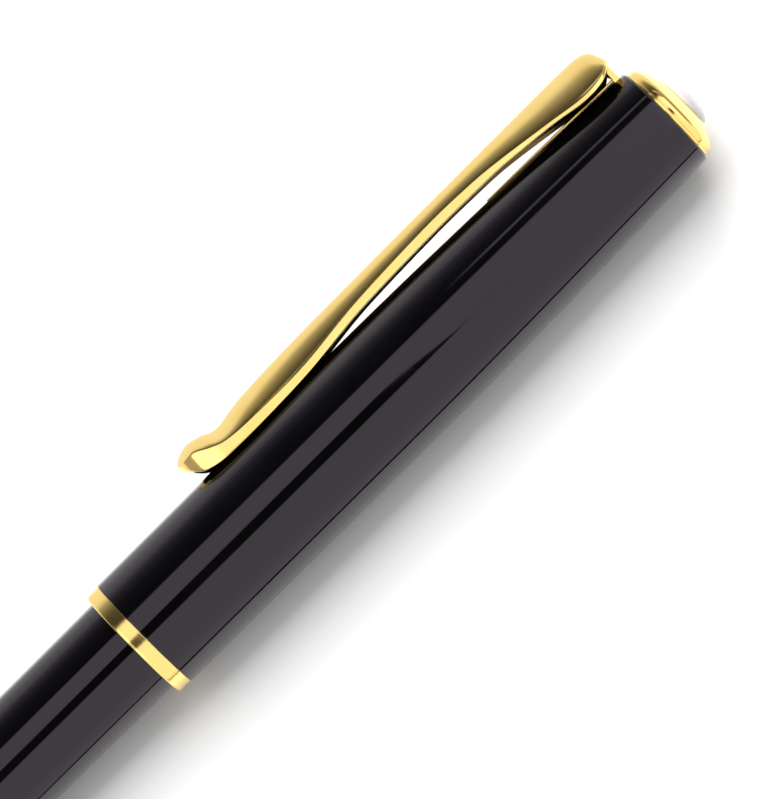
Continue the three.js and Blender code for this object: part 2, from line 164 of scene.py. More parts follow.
class Finish:
    """A material under construction: a principled surface with procedural detail."""

    def __init__(self, name, **sockets):
        self.material = bpy.data.materials.new(name)
        self.material.use_nodes = True
        self.tree = self.material.node_tree
        self.surface = self.tree.nodes["Principled BSDF"]
        for socket, value in sockets.items():
            self.surface.inputs[socket.replace("_", " ")].default_value = value
        self.coordinates = self.tree.nodes.new("ShaderNodeTexCoord")
        self.bump = None

    def noise(self, size, stretch=(1, 1, 1), detail=3, roughness=0.55):
        """Noise with features of about that size in millimetres, drawn out along each axis."""
        mapping = self.tree.nodes.new("ShaderNodeMapping")
        mapping.inputs["Scale"].default_value = [1 / (size * MM * s) for s in stretch]
        self.tree.links.new(self.coordinates.outputs["Object"], mapping.inputs["Vector"])
        noise = self.tree.nodes.new("ShaderNodeTexNoise")
        noise.inputs["Scale"].default_value = 1
        noise.inputs["Detail"].default_value = detail
        noise.inputs["Roughness"].default_value = roughness
        self.tree.links.new(mapping.outputs["Vector"], noise.inputs["Vector"])
        return noise.outputs["Fac"]

    def ramp(self, source, *stops):
        """Turns a noise value into a colour or a grey through (position, colour) stops."""
        ramp = self.tree.nodes.new("ShaderNodeValToRGB")
        elements = ramp.color_ramp.elements
        while len(elements) < len(stops):
            elements.new(0.5)
        for element, (position, colour) in zip(elements, stops):
            element.position = position
            element.color = (*colour, 1) if isinstance(colour, tuple) else (colour,) * 3 + (1,)
        self.tree.links.new(source, ramp.inputs["Fac"])
        return ramp.outputs["Color"]

    def paint_shade_inside(self, source):
        """Lowers a noise value below zero wherever the mesh is marked as facing inwards, to paint shade
        there: the colour ramp gives those faces its darkest stop.
        """
        painted_shade_mark = self.tree.nodes.new("ShaderNodeAttribute")
        painted_shade_mark.attribute_name = "inside"
        lowered = self.tree.nodes.new("ShaderNodeMath")
        lowered.operation = "SUBTRACT"
        self.tree.links.new(source, lowered.inputs[0])
        self.tree.links.new(painted_shade_mark.outputs["Fac"], lowered.inputs[1])
        return lowered.outputs["Value"]

    def feed(self, socket, source):
        self.tree.links.new(source, self.surface.inputs[socket])

    def relief(self, source, depth, strength=1.0):
        """Adds a bump of that depth in millimetres over the bumps added before."""
        bump = self.tree.nodes.new("ShaderNodeBump")
        bump.inputs["Distance"].default_value = depth * MM
        bump.inputs["Strength"].default_value = strength
        self.tree.links.new(source, bump.inputs["Height"])
        if self.bump:
            self.tree.links.new(self.bump.outputs["Normal"], bump.inputs["Normal"])
        self.bump = bump
        self.tree.links.new(bump.outputs["Normal"], self.surface.inputs["Normal"])


def black_lacquer():
    finish = Finish("black_lacquer", IOR=1.5)
    finish.surface.inputs["Specular Tint"].default_value = (1, 0.88, 1, 1)
    cloud = finish.noise(6)
    tones = (0.3, (0.0004, 0.00035, 0.0005)), (0.7, (0.0009, 0.0008, 0.001))
    finish.feed("Base Color", finish.ramp(cloud, *tones))
    handled = finish.noise(2.5, (2.5, 1, 1), detail=5)
    finish.feed("Roughness", finish.ramp(handled, (0.4, 0.035), (0.62, 0.07), (0.8, 0.11)))
    finish.relief(finish.noise(1.6, detail=2), 0.00035)
    hairlines = finish.noise(0.05, (60, 1, 1), detail=2)
    finish.relief(finish.ramp(hairlines, (0.68, 0.0), (0.75, 1.0)), 0.00006)
    return finish.material


def gold_plate():
    finish = Finish("gold_plate", Metallic=1.0)
    # Painted shade: faces marked as facing inwards (the clip's hollow and the leaf's side against the cap)
    # drop to the first stop, a dark brown that stands in for the shade there.
    noise_with_painted_shade = finish.paint_shade_inside(finish.noise(3, detail=4))
    finish.feed("Base Color", finish.ramp(
        noise_with_painted_shade,
        (0.0, (0.09, 0.055, 0.02)),
        (0.12, (0.92, 0.65, 0.19)),
        (0.3, (0.94, 0.67, 0.21)),
        (0.7, (0.97, 0.705, 0.25)),
    ))
    worn = finish.noise(0.8, (3, 1, 1), detail=5)
    finish.feed("Roughness", finish.ramp(worn, (0.35, 0.13), (0.6, 0.17), (0.8, 0.24)))
    hairlines = finish.noise(0.035, (40, 1, 1), detail=2)
    finish.relief(finish.ramp(hairlines, (0.62, 0.0), (0.72, 1.0)), 0.00012)
    finish.relief(finish.noise(0.5, detail=2), 0.0002)
    return finish.material


def turned_metal(name, light, dark, roughness, ring=0.03):
    """Bare metal with the fine rings that turning or drawing leaves."""
    finish = Finish(name, Metallic=1.0)
    rings = finish.noise(ring, (1, 60, 60), detail=2)
    finish.feed("Base Color", finish.ramp(finish.noise(1.5, detail=4), (0.3, dark), (0.7, light)))
    finish.feed("Roughness", finish.ramp(rings, (0.3, roughness * 0.8), (0.75, roughness * 1.25)))
    finish.relief(rings, 0.0012)
    return finish.material


def white_cabochon():
    finish = Finish("white_cabochon", IOR=1.5, Subsurface_Weight=0.2, Coat_Weight=0.35, Coat_Roughness=0.18)
    finish.surface.inputs["Subsurface Radius"].default_value = (0.0008, 0.0007, 0.0006)
    tones = (0.3, (0.56, 0.535, 0.515)), (0.7, (0.6, 0.58, 0.56))
    finish.feed("Base Color", finish.ramp(finish.noise(1.2, detail=4), *tones))
    finish.feed("Roughness", finish.ramp(finish.noise(0.3, detail=4), (0.35, 0.26), (0.7, 0.38)))
    finish.relief(finish.noise(0.12, detail=3), 0.0006)
    return finish.material


def plastic(name, light, dark, roughness, grain=0.08, depth=0.0015):
    """Moulded plastic, fibre or rubber with a fine grain."""
    finish = Finish(name, IOR=1.48)
    finish.feed("Base Color", finish.ramp(finish.noise(1.8, detail=4), (0.3, dark), (0.7, light)))
    grained = finish.noise(grain, detail=4)
    finish.feed("Roughness", finish.ramp(grained, (0.3, roughness - 0.07), (0.7, roughness + 0.07)))
    finish.relief(grained, depth)
    return finish.material


def ink_fibre():
    finish = Finish("ink_fibre", IOR=1.4)
    strands = finish.noise(0.06, (60, 1, 1), detail=3)
    finish.feed("Base Color", finish.ramp(strands, (0.3, (0.006, 0.009, 0.03)), (0.7, (0.02, 0.03, 0.085))))
    finish.feed("Roughness", finish.ramp(strands, (0.3, 0.75), (0.7, 0.95)))
    finish.relief(strands, 0.02)
    return finish.material


FINISHES = {
    "black_lacquer": black_lacquer(),
    "gold_plate": gold_plate(),
    "white_cabochon": white_cabochon(),
    "plain_brass": turned_metal("plain_brass", (0.72, 0.53, 0.25), (0.6, 0.43, 0.19), 0.3),
    "steel": turned_metal("steel", (0.66, 0.67, 0.68), (0.56, 0.57, 0.58), 0.26),
    "carbide": turned_metal("carbide", (0.42, 0.43, 0.45), (0.34, 0.35, 0.37), 0.16, 0.02),
    "black_plastic": plastic("black_plastic", (0.02, 0.02, 0.02), (0.011, 0.011, 0.011), 0.42),
    "pale_plastic": plastic("pale_plastic", (0.72, 0.72, 0.69), (0.63, 0.63, 0.6), 0.4),
    "ink_fibre": ink_fibre(),
    "black_rubber": plastic("black_rubber", (0.02, 0.02, 0.02), (0.009, 0.009, 0.009), 0.72, 0.12, 0.004),
}


# ---- mesh building ----


def spaced(first, last, steps):
    return np.linspace(first, last, steps + 1)


def share(value):
    """The value, kept between 0 and 1."""
    return min(max(value, 0), 1)


def piece(name, points, faces):
    """An object from points in the pen's frame, smooth except at its sharp edges."""
    mesh = bpy.data.meshes.new(name)
    mesh.from_pydata((np.asarray(points) * MM + MOUTH).tolist(), [], faces)
    mesh.validate()
    shape = bmesh.new()
    shape.from_mesh(mesh)
    bmesh.ops.remove_doubles(shape, verts=shape.verts, dist=MERGE_DISTANCE)
    bmesh.ops.recalc_face_normals(shape, faces=shape.faces)
    shape.to_mesh(mesh)
    shape.free()
    mesh.shade_smooth()
    mesh.set_sharp_from_angle(angle=SHARP)
    part = bpy.data.objects.new(name, mesh)
    bpy.context.scene.collection.objects.link(part)
    return part


def rounded(outline, steps=6):
    """An outline whose corners with a rounding are turned into curves."""
    points = []
    for i, corner in enumerate(outline):
        here = np.array(corner[:2], float)
        if len(corner) < 3:
            points.append(here)
            continue
        ends = []
        for other in (outline[i - 1], outline[(i + 1) % len(outline)]):
            arm = np.array(other[:2], float) - here
            length = np.linalg.norm(arm)
            ends.append(here + arm / length * min(corner[2], 0.48 * length))
        for t in spaced(0, 1, steps):
            points.append((1 - t) ** 2 * ends[0] + 2 * t * (1 - t) * here + t * t * ends[1])
    return points


def lathe(name, outline, segments=SEGMENTS, radius=None):
    """A solid turned about the pen's axis. The outline closes, or starts and ends on the axis.
    radius(x, r, angle) may give each point another radius."""
    outline = rounded(outline)
    solid = outline[0][1] == 0 and outline[-1][1] == 0
    rows = len(outline) - 1 if solid else len(outline)
    angles = np.arange(segments) * 2 * math.pi / segments
    points = []
    for x, r in outline:
        reach = np.array([radius(x, r, a) for a in angles]) if radius else np.full(segments, r)
        points.append(np.stack([np.full(segments, x), reach * np.cos(angles), reach * np.sin(angles)], 1))
    faces = []
    for row in range(rows):
        a, b = row * segments, (row + 1) % len(outline) * segments
        for i in range(segments):
            j = (i + 1) % segments
            faces.append((a + i, a + j, b + j, b + i))
    return piece(name, np.concatenate(points), faces)


def box_piece(name, xs, ys, zs, bevel=0.0):
    """A block with bevelled edges."""
    corners = [(x, y, z) for x in xs for y in ys for z in zs]
    faces = [(0, 1, 3, 2), (4, 6, 7, 5), (0, 4, 5, 1), (2, 3, 7, 6), (0, 2, 6, 4), (1, 5, 7, 3)]
    part = piece(name, corners, faces)
    if bevel:
        shape = bmesh.new()
        shape.from_mesh(part.data)
        bmesh.ops.bevel(
            shape, geom=shape.edges[:], offset=bevel * MM, segments=4, profile=0.5, affect="EDGES"
        )
        shape.to_mesh(part.data)
        shape.free()
        part.data.shade_smooth()
    return part


def combine(part, tool, operation):
    """Cuts the tool out of the part, or joins it on, and removes the tool."""
    modifier = part.modifiers.new("combine", "BOOLEAN")
    modifier.operation = operation
    modifier.solver = "EXACT"
    modifier.object = tool
    graph = bpy.context.evaluated_depsgraph_get()
    mesh = bpy.data.meshes.new_from_object(part.evaluated_get(graph))
    part.modifiers.clear()
    part.data = mesh
    bpy.data.objects.remove(tool)
    mesh.shade_smooth()
    mesh.set_sharp_from_angle(angle=SHARP)
    return part


def cap_radius(x):
    """The cap's outer radius: it swells slightly to its belly, then tapers towards the crown."""
    if x < BELLY_X:
        return BELLY_R - (BELLY_R - MOUTH_R) * (1 - x / BELLY_X) ** 2
    return BELLY_R - CAP_TAPER * (math.hypot(x - BELLY_X, CAP_TAPER_LEAD) - CAP_TAPER_LEAD)


def cap_bore(x):
    return cap_radius(x) - CAP_WALL


def barrel_radius(x):
    return BARREL_R + BARREL_TAPER * x


def smooth_curve(values, position):
    """Catmull-Rom curves through the columns of values, at a position counted in rows."""
    values = np.asarray(values, float)
    i = min(int(position), len(values) - 2)
    t = position - i
    a, b, c, d = (values[min(max(k, 0), len(values) - 1)] for k in (i - 1, i, i + 1, i + 2))
    square, cube = 2 * a - 5 * b + 4 * c - d, 3 * b - a - 3 * c + d
    return 0.5 * (2 * b + (c - a) * t + square * t * t + cube * t**3)


# ---- cap ----


def cap_tube():
    start = BAND_WIDTH + 0.025
    outside = [(x, cap_radius(x)) for x in (start + 0.05, *spaced(start + 0.09, CAP_END - 0.2, 90))]
    inside = [(x, cap_bore(x)) for x in spaced(CAP_END, start, 20)]
    front = (start, cap_radius(start) - 0.03)
    edge = [(CAP_END - 0.1, cap_radius(CAP_END) - 0.004, 0.03), (CAP_END, cap_radius(CAP_END) - 0.1, 0.03)]
    tube = lathe("cap_tube_lacquered", [front, *outside, *edge, *inside])
    xs = (TONGUE_X[0] - SLOT_PLAY, TONGUE_X[1] + SLOT_PLAY)
    half = TONGUE_HALF_WIDTH + SLOT_PLAY
    return combine(tube, box_piece("slot", xs, (3, 7), (-half, half)), "DIFFERENCE")


def cap_band():
    spigot = cap_bore(BAND_WIDTH) - PLAY
    return lathe("cap_band_polished", [
        (0, BAND_BORE_R, 0.05),
        (0, MOUTH_R - 0.06, 0.2),
        (0.22, MOUTH_R, 0.16),
        (BAND_WIDTH, MOUTH_R, 0.035),
        (BAND_WIDTH, spigot),
        (4.2, spigot, 0.06),
        (4.2, BAND_BORE_R, 0.06),
    ])


def inner_cap():
    floor = SCREW_HEAD_X + 0.9
    end = floor + 1
    outside = [(x, cap_bore(x) - PLAY) for x in spaced(10.35, end - 0.1, 40)]
    return lathe("inner_cap_moulded", [
        (10.2, 4.98, 0.06),
        *outside,
        (end, cap_bore(end) - 0.2, 0.1),
        (end, SCREW_R + PLAY),
        (floor, SCREW_R + PLAY),
        (floor, 4.45, 0.2),
        (11.7, 4.45, 0.2),
        (10.2, SECTION_RING_R, 0.08),
    ], INNER_SEGMENTS)


def clutch_ring():
    ring = lathe("clutch_ring_sprung", [
        (7.9, 4.7, 0.04),
        (7.9, 4.98, 0.06),
        (8.1, 5.1, 0.08),
        (8.9, 5.1, 0.08),
        (9.1, 4.98, 0.06),
        (9.1, 4.7, 0.04),
        (8.5, 4.66, 0.3),
    ], INNER_SEGMENTS)
    return combine(ring, box_piece("split", (7, 10), (-6, -4), (-0.4, 0.4)), "DIFFERENCE")


def crown_bush():
    hole = SCREW_R + PLAY
    return lathe("crown_bush_turned", [
        (56, hole, 0.1),
        (56, cap_bore(56) - PLAY, 0.1),
        (60.4, cap_bore(60.4) - PLAY, 0.1),
        (60.4, hole, 0.1),
    ], INNER_SEGMENTS)


def crown_screw():
    neck, end = SCREW_HEAD_X + 0.85, CAP_END + 0.4
    screw = lathe("crown_screw_turned", [
        (SCREW_HEAD_X, 0),
        (SCREW_HEAD_X, 2.6, 0.25),
        (neck, 2.6, 0.08),
        (neck, SCREW_R, 0.05),
        (end, SCREW_R, 0.3),
        (end, 0),
    ], INNER_SEGMENTS)
    slot = box_piece("driver_slot", (SCREW_HEAD_X - 1, SCREW_HEAD_X + 0.4), (-4, 4), (-0.3, 0.3))
    return combine(screw, slot, "DIFFERENCE")


def crown_ring():
    spigot = cap_bore(CAP_END) - PLAY
    base = CAP_END + 0.03
    back = 60.45
    knots = [
        (base + 0.3, CROWN_FLANGE_R - 0.1),
        (base + 0.62, CROWN_FLANGE_R - 0.09),
        (base + 0.98, CROWN_FLANGE_R - 0.32),
        (base + 1.3, CROWN_FLANGE_R - 0.82),
        (base + 1.56, CROWN_FLANGE_R - 1.38),
        (CROWN_RIM_X, CROWN_RIM_R),
    ]
    dome = [tuple(smooth_curve(knots, p)) for p in spaced(0, len(knots) - 1, 40)]
    ring = lathe("crown_ring_polished", [
        (back, SCREW_R + PLAY),
        (back, spigot, 0.1),
        (base, spigot),
        (base, CROWN_FLANGE_R, 0.06),
        (base + 0.22, CROWN_FLANGE_R, 0.06),
        (base + 0.27, CROWN_FLANGE_R - 0.13, 0.05),
        *dome,
        (CROWN_RIM_X - 0.1, CROWN_RIM_R - 0.25, 0.05),
        (CROWN_RIM_X - 0.9, CROWN_RIM_R - 0.25),
        (CROWN_RIM_X - 0.9, SCREW_R + PLAY),
    ])
    half = TONGUE_HALF_WIDTH + 2 * SLOT_PLAY
    notch = box_piece("notch", (back - 1, base - 0.05), (2.1, 5), (-half, half))
    return combine(ring, notch, "DIFFERENCE")


def crown_cabochon():
    stone, dome_r = CROWN_RIM_R - 0.25 - PLAY, CROWN_RIM_R - 0.07
    base = CROWN_RIM_X + 0.01
    dome = [
        (base + (CROWN_TOP - base) * math.sin(turn), dome_r * math.cos(turn) ** 0.96)
        for turn in spaced(0, math.pi / 2, 48)[:-1]
    ]
    return lathe("crown_cabochon_satin", [
        (base - 0.8, 0),
        (base - 0.8, stone),
        (base - 0.05, stone),
        *dome,
        (CROWN_TOP, 0),
    ])


def clip_half(station, inset):
    """Half of the clip's cross-section, (z, y) from the lower edge to the crest, set in by a margin."""
    _, low_width, shoulder_width, low, shoulder, crest = station
    foot, bend = (max(width - inset, 0.04) for width in (low_width, shoulder_width))
    crest = max(crest - inset, shoulder + 0.02)
    corner = 0.01 if inset else min(CLIP_CORNER, 0.3 * foot, 0.3 * (shoulder - low))
    points = [
        (foot - corner + corner * math.cos(turn), low + corner + corner * math.sin(turn))
        for turn in spaced(-math.pi / 2, 0, 5)
    ]
    foot_y = low + corner
    points += [(foot + (bend - foot) * t, foot_y + (shoulder - foot_y) * t) for t in spaced(0, 1, 6)[1:]]
    for turn in spaced(0, math.pi / 2, 40)[1:]:
        side = math.cos(turn) ** 1.4
        flat = (math.hypot(side, CLIP_RIDGE) - CLIP_RIDGE) / (math.hypot(1, CLIP_RIDGE) - CLIP_RIDGE)
        rise = (1 - flat**CLIP_ROOF) ** (1 / CLIP_ROOF)
        points.append((bend * side, shoulder + (crest - shoulder) * rise))
    return points


def loft(name, sections):
    """A solid through closed loops with the same number of points, closed by its end loops."""
    around = len(sections[0])
    faces = []
    for row in range(len(sections) - 1):
        a, b = row * around, (row + 1) * around
        for i in range(around):
            j = (i + 1) % around
            faces.append((a + i, a + j, b + j, b + i))
    faces += [tuple(range(around)), tuple((len(sections) - 1) * around + i for i in range(around))]
    return piece(name, [point for section in sections for point in section], faces)


def clip():
    """The pressed dome, hollow underneath except at its two ends."""
    sections, painted_shade_points = [], []
    (start, end), (start_run, end_run) = CLIP_HOLLOW_X, CLIP_HOLLOW_RUN
    for position in spaced(0, len(CLIP_STATIONS) - 1, CLIP_ROWS):
        station = smooth_curve(CLIP_STATIONS, position)
        x, low = station[0], station[3]
        depth = share(min((x - start) / start_run, (end - x) / end_run))
        depth = depth * depth * (3 - 2 * depth)
        outer = clip_half(station, 0)
        inset = min(CLIP_SHEET, 0.55 * station[1])
        inner = [(z, low + (y - low) * depth) for z, y in clip_half(station, inset)]
        loop = outer + [(-z, y) for z, y in outer[-2::-1]] + [(-z, y) for z, y in inner] + inner[-2::-1]
        sections.append([(x, y, z) for z, y in loop])
        # The hollow's walls are marked for painted shade, which the gold finish paints dark brown.
        if depth > CLIP_PAINTED_SHADE_FROM:
            painted_shade_points += sections[-1][2 * len(outer) - 1 :]
    pressing = loft("clip_pressed", sections)
    painted_shade_finder = KDTree(len(painted_shade_points))
    for number, point in enumerate(painted_shade_points):
        painted_shade_finder.insert(Vector(np.array(point) * MM + MOUTH), number)
    painted_shade_finder.balance()
    painted_shade_marks = [float(painted_shade_finder.find(vertex.co)[2] < SAME_POINT) for vertex in pressing.data.vertices]
    pressing.data.attributes.new("inside", "FLOAT", "POINT").data.foreach_set("value", painted_shade_marks)
    return pressing


def clip_leaf():
    """The spring leaf that lies along the cap from the tongue, with painted shade where it faces the cap.
    """
    across = spaced(-LEAF_HALF_WIDTH, LEAF_HALF_WIDTH, 12)
    sections, painted_shade_marks = [], []
    for along in spaced(0, 1, 60):
        x = LEAF_X[0] + (LEAF_X[1] - LEAF_X[0]) * along
        thickness = LEAF_THICKNESS[0] + (LEAF_THICKNESS[1] - LEAF_THICKNESS[0]) * along
        under = [(x, math.sqrt((cap_radius(x) + PLAY) ** 2 - z * z), z) for z in across]
        over = [
            (x, y + thickness * min(1, 0.8 + (LEAF_HALF_WIDTH - abs(z)) * 2), z)
            for _, y, z in reversed(under)
        ]
        sections.append(under + over)
        # Painted shade: the side against the cap is marked, and the gold finish paints it dark brown.
        painted_shade_marks += [1.0] * len(under) + [0.0] * len(over)
    leaf = loft("clip_leaf", sections)
    leaf.data.attributes.new("inside", "FLOAT", "POINT").data.foreach_set("value", painted_shade_marks)
    return leaf


def clip_tongue():
    return box_piece("clip_tongue", TONGUE_X, TONGUE_Y, (-TONGUE_HALF_WIDTH, TONGUE_HALF_WIDTH), 0.08)


# ---- screw joint and grip section ----


def thread(wall):
    """A radius function that gives the wall at one radius a right-handed thread."""
    def radius(x, r, angle):
        if abs(r - wall) > 1e-6:
            return r
        return r + THREAD_DEPTH / 2 * math.cos(2 * math.pi * x / THREAD_PITCH - angle)
    return radius


def section_thread():
    rows = [(x, THREAD_R) for x in spaced(2, 6.8, 96)]
    return lathe("section_thread_cut", [
        (2, SECTION_BORE_R),
        *rows,
        (6.85, 3.42),
        (8.2, 3.42),
        (8.3, NIPPLE_R),
        (NIPPLE_END, NIPPLE_R, 0.1),
        (NIPPLE_END, SECTION_BORE_R),
    ], INNER_SEGMENTS, thread(THREAD_R))


def barrel_thread_bush():
    first, last, wall = 1.4, BARREL_FRONT - 0.1, THREAD_R + THREAD_PLAY
    outer = barrel_radius(first) - BARREL_WALL - PLAY
    rows = [(x, wall) for x in spaced(first, last, 110)]
    outline = [(first, outer), *rows, (last, outer)]
    return lathe("barrel_thread_bush_cut", outline, INNER_SEGMENTS, thread(wall))


def seal_washer():
    return lathe("seal_washer_rubber", [
        (BARREL_FRONT + 0.05, NIPPLE_R, 0.1),
        (BARREL_FRONT + 0.05, 4.5, 0.2),
        (BARREL_FRONT + 0.6, 4.5, 0.2),
        (BARREL_FRONT + 0.6, NIPPLE_R, 0.1),
    ], INNER_SEGMENTS)


def section_ring():
    first, last = BARREL_FRONT + 0.7, SECTION_BACK - PLAY
    return lathe("section_ring_polished", [
        (first, NIPPLE_R + PLAY),
        (first, SECTION_RING_R, 0.25),
        (last, SECTION_RING_R, 0.25),
        (last, NIPPLE_R + PLAY),
    ])


def grip_section():
    socket = NIPPLE_END + 0.2
    knots = [(9.5, 4.34), (16, 4.26), (24, 4.08), (31, 3.9), (38, 3.82)]
    waist = [tuple(smooth_curve(knots, p)) for p in spaced(0, len(knots) - 1, 60)]
    return lathe("grip_section_lacquered", [
        (SECTION_BACK, NIPPLE_R + PLAY),
        (SECTION_BACK, 4.3, 0.12),
        *waist,
        (SECTION_FRONT, 3.8, 0.12),
        (SECTION_FRONT, 3.36),
        (SPIGOT_END, 3.36, 0.05),
        (SPIGOT_END, SECTION_BORE_R),
        (socket, SECTION_BORE_R),
        (socket, NIPPLE_R + PLAY),
    ])


def nose_cone():
    first, shoulder = SECTION_FRONT + PLAY, REFILL_SHOULDER + PLAY
    knots = [
        (SECTION_FRONT + 0.2, 3.78),
        (SPIGOT_END + 0.4, 3.7),
        (42.6, 3.25),
        (44.6, 2.45),
        (NOSE_END - 0.2, 1.84),
    ]
    cone = [tuple(smooth_curve(knots, p)) for p in spaced(0, len(knots) - 1, 48)]
    return lathe("nose_cone_polished", [
        (first, 3.42),
        (first, 3.72, 0.05),
        *cone,
        (NOSE_END, 1.72, 0.1),
        (NOSE_END, 1.42, 0.06),
        (45.6, 1.42),
        (44.8, 2.2),
        (shoulder, 2.2),
        (shoulder, SECTION_BORE_R),
        (SPIGOT_END + 0.1, SECTION_BORE_R),
        (SPIGOT_END + 0.1, 3.42),
    ])


# ---- refill ----


def refill_tube():
    back, front = REFILL_TUBE
    return lathe("refill_tube_drawn", [
        (back, REFILL_R - 0.25),
        (back, REFILL_R, 0.06),
        (front, REFILL_R, 0.06),
        (front, REFILL_R - 0.25),
    ], INNER_SEGMENTS)


def refill_end_plug():
    back = REFILL_TUBE[0] - 0.03
    return lathe("refill_end_plug_moulded", [
        (REFILL_BACK, 0),
        (REFILL_BACK, REFILL_R, 0.35),
        (back, REFILL_R, 0.05),
        (back, REFILL_R - 0.3),
        (back + 3, REFILL_R - 0.3, 0.1),
        (back + 3, 0),
    ], INNER_SEGMENTS)


def ink_reservoir():
    outline = [(-57, 0), (-57, 2.6, 0.2), (30, 2.6, 0.2), (30, 0)]
    return lathe("ink_reservoir_fibre", outline, INNER_SEGMENTS)


def feed_wick():
    outline = [(30.25, 0), (30.25, 0.9, 0.1), (42.55, 0.9, 0.1), (42.55, 0)]
    return lathe("feed_wick_fibre", outline, INNER_SEGMENTS)


def refill_front():
    front = REFILL_TUBE[1]
    return lathe("refill_front_moulded", [
        (front - 3, 1.12),
        (front - 3, REFILL_R - 0.3, 0.1),
        (front + 0.03, REFILL_R - 0.3),
        (front + 0.03, REFILL_R, 0.05),
        (REFILL_SHOULDER, REFILL_R, 0.15),
        (REFILL_SHOULDER, 2.1, 0.1),
        (44.6, 2.1, 0.2),
        (45.15, 1.5, 0.1),
        (45.15, 1.12),
    ], INNER_SEGMENTS)


def refill_tip():
    lip = BALL_X + 0.12
    return lathe("refill_tip_turned", [
        (42.8, 0.2),
        (42.8, 1.07, 0.1),
        (45.2, 1.07),
        (45.2, 1.25, 0.05),
        (45.7, 1.25, 0.1),
        (46.3, 1.05, 0.15),
        (lip - 0.25, 0.52, 0.1),
        (lip, 0.46, 0.04),
        (lip, 0.405),
        (BALL_X, 0.43),
        (BALL_X - 0.2, 0.38),
        (BALL_X - 0.35, 0.25),
        (BALL_X - 0.4, 0.2),
    ], INNER_SEGMENTS)


def tip_ball():
    arc = [
        (BALL_X - BALL_R * math.cos(turn), BALL_R * math.sin(turn))
        for turn in spaced(0, math.pi, 48)[1:-1]
    ]
    return lathe("tip_ball_ground", [(BALL_X - BALL_R, 0), *arc, (BALL_X + BALL_R, 0)], 96)


def refill_spring():
    """The coil spring, its wire swept along a helix."""
    rows, around = 420, 20
    length = SPRING_X[1] - SPRING_X[0]
    lead = length / (2 * math.pi * SPRING_TURNS * SPRING_R)
    sections = []
    for t in spaced(0, 1, rows):
        turn = 2 * math.pi * SPRING_TURNS * t
        out = np.array([0, math.cos(turn), math.sin(turn)])
        tangent = np.array([lead, -math.sin(turn), math.cos(turn)])
        side = np.cross(tangent / np.linalg.norm(tangent), out)
        centre = np.array([SPRING_X[0] + length * t, 0, 0]) + SPRING_R * out
        sections.append([
            centre + WIRE_R * (math.cos(a) * out + math.sin(a) * side)
            for a in np.arange(around) * 2 * math.pi / around
        ])
    return loft("refill_spring_coiled", sections)


def spring_cup():
    front, back = REFILL_BACK - PLAY, REFILL_BACK - 2.2
    return lathe("spring_cup_moulded", [
        (front, 0),
        (front, 3.9, 0.15),
        (back, 3.9, 0.1),
        (back, 3.5, 0.1),
        (REFILL_BACK - 0.6, 3.5, 0.1),
        (REFILL_BACK - 0.6, 0),
    ], INNER_SEGMENTS)


# ---- barrel ----


def barrel_tube():
    back, front = BARREL_BACK, BARREL_FRONT
    outside = [(x, barrel_radius(x)) for x in spaced(back + 0.04, front - 0.2, 60)]
    return lathe("barrel_tube_lacquered", [
        (back, barrel_radius(back) - BARREL_WALL),
        (back, barrel_radius(back) - 0.03),
        *outside,
        (front, barrel_radius(front) - 0.06, 0.1),
        (front, barrel_radius(front) - BARREL_WALL, 0.04),
    ])


def barrel_end_bush():
    outer = barrel_radius(BARREL_BACK) - BARREL_WALL - PLAY
    first, last = BARREL_BACK + 0.1, BARREL_BACK + 3
    return lathe("barrel_end_bush_turned", [
        (first, 3.3, 0.1),
        (first, outer, 0.1),
        (last, outer, 0.1),
        (last, 3.3, 0.1),
    ], INNER_SEGMENTS)


def barrel_end_plug():
    edge = barrel_radius(BARREL_BACK) - 0.01
    back = BARREL_BACK - 0.03
    depth, width = back - 0.45 - PEN_BACK, edge - END_FLAT_R
    shoulder = [
        (PEN_BACK + depth * (1 - math.cos(turn)), END_FLAT_R + width * math.sin(turn))
        for turn in spaced(0, math.pi / 2, 36)
    ]
    face = BARREL_BACK + 1.6
    return lathe("barrel_end_plug_polished", [
        (PEN_BACK, 0),
        *shoulder,
        (back, edge, 0.04),
        (back, 3.25),
        (face, 3.25, 0.1),
        (face, 0),
    ])


# ---- assembly ----


def dress(part, body, slot, *nodes):
    """Gives a piece its finish, its body and the CAD nodes that it stands for."""
    part.data.materials.clear()
    part.data.materials.append(FINISHES[slot])
    if body:
        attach(part, body)
    if nodes:
        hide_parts(*nodes)


dress(cap_tube(), "cap", "black_lacquer", "cap_tube")
dress(cap_band(), "cap", "gold_plate", "cap_band")
dress(inner_cap(), "cap", "black_plastic", "inner_cap")
dress(clutch_ring(), "clutch", "steel", "clutch_ring")
dress(crown_bush(), "cap", "plain_brass", "crown_bush")
dress(crown_screw(), "cap", "plain_brass", "crown_screw")
dress(crown_ring(), "cap", "gold_plate", "crown_ring")
dress(crown_cabochon(), "cap", "white_cabochon", "crown_cabochon")
dress(clip(), "clip", "gold_plate", "clip")
dress(clip_tongue(), "clip", "gold_plate")
dress(clip_leaf(), "clip", "gold_plate")
dress(seal_washer(), "seal", "black_rubber", "seal_washer")
dress(section_thread(), "section", "plain_brass", "section_thread")
dress(section_ring(), "section", "gold_plate", "section_ring")
dress(grip_section(), "section", "black_lacquer", "grip_section")
dress(nose_cone(), "section", "gold_plate", "nose_cone")
dress(refill_tube(), "refill", "steel", "refill_tube")
dress(refill_end_plug(), "refill", "pale_plastic", "refill_end_plug")
dress(ink_reservoir(), "refill", "ink_fibre", "ink_reservoir")
dress(feed_wick(), "refill", "ink_fibre", "feed_wick")
dress(refill_front(), "refill", "pale_plastic", "refill_front")
dress(refill_tip(), "refill", "steel", "refill_tip")
dress(tip_ball(), "ball", "carbide", "tip_ball")
dress(spring_cup(), "refill", "black_plastic", "spring_cup")
dress(barrel_tube(), "barrel", "black_lacquer", "barrel_tube")
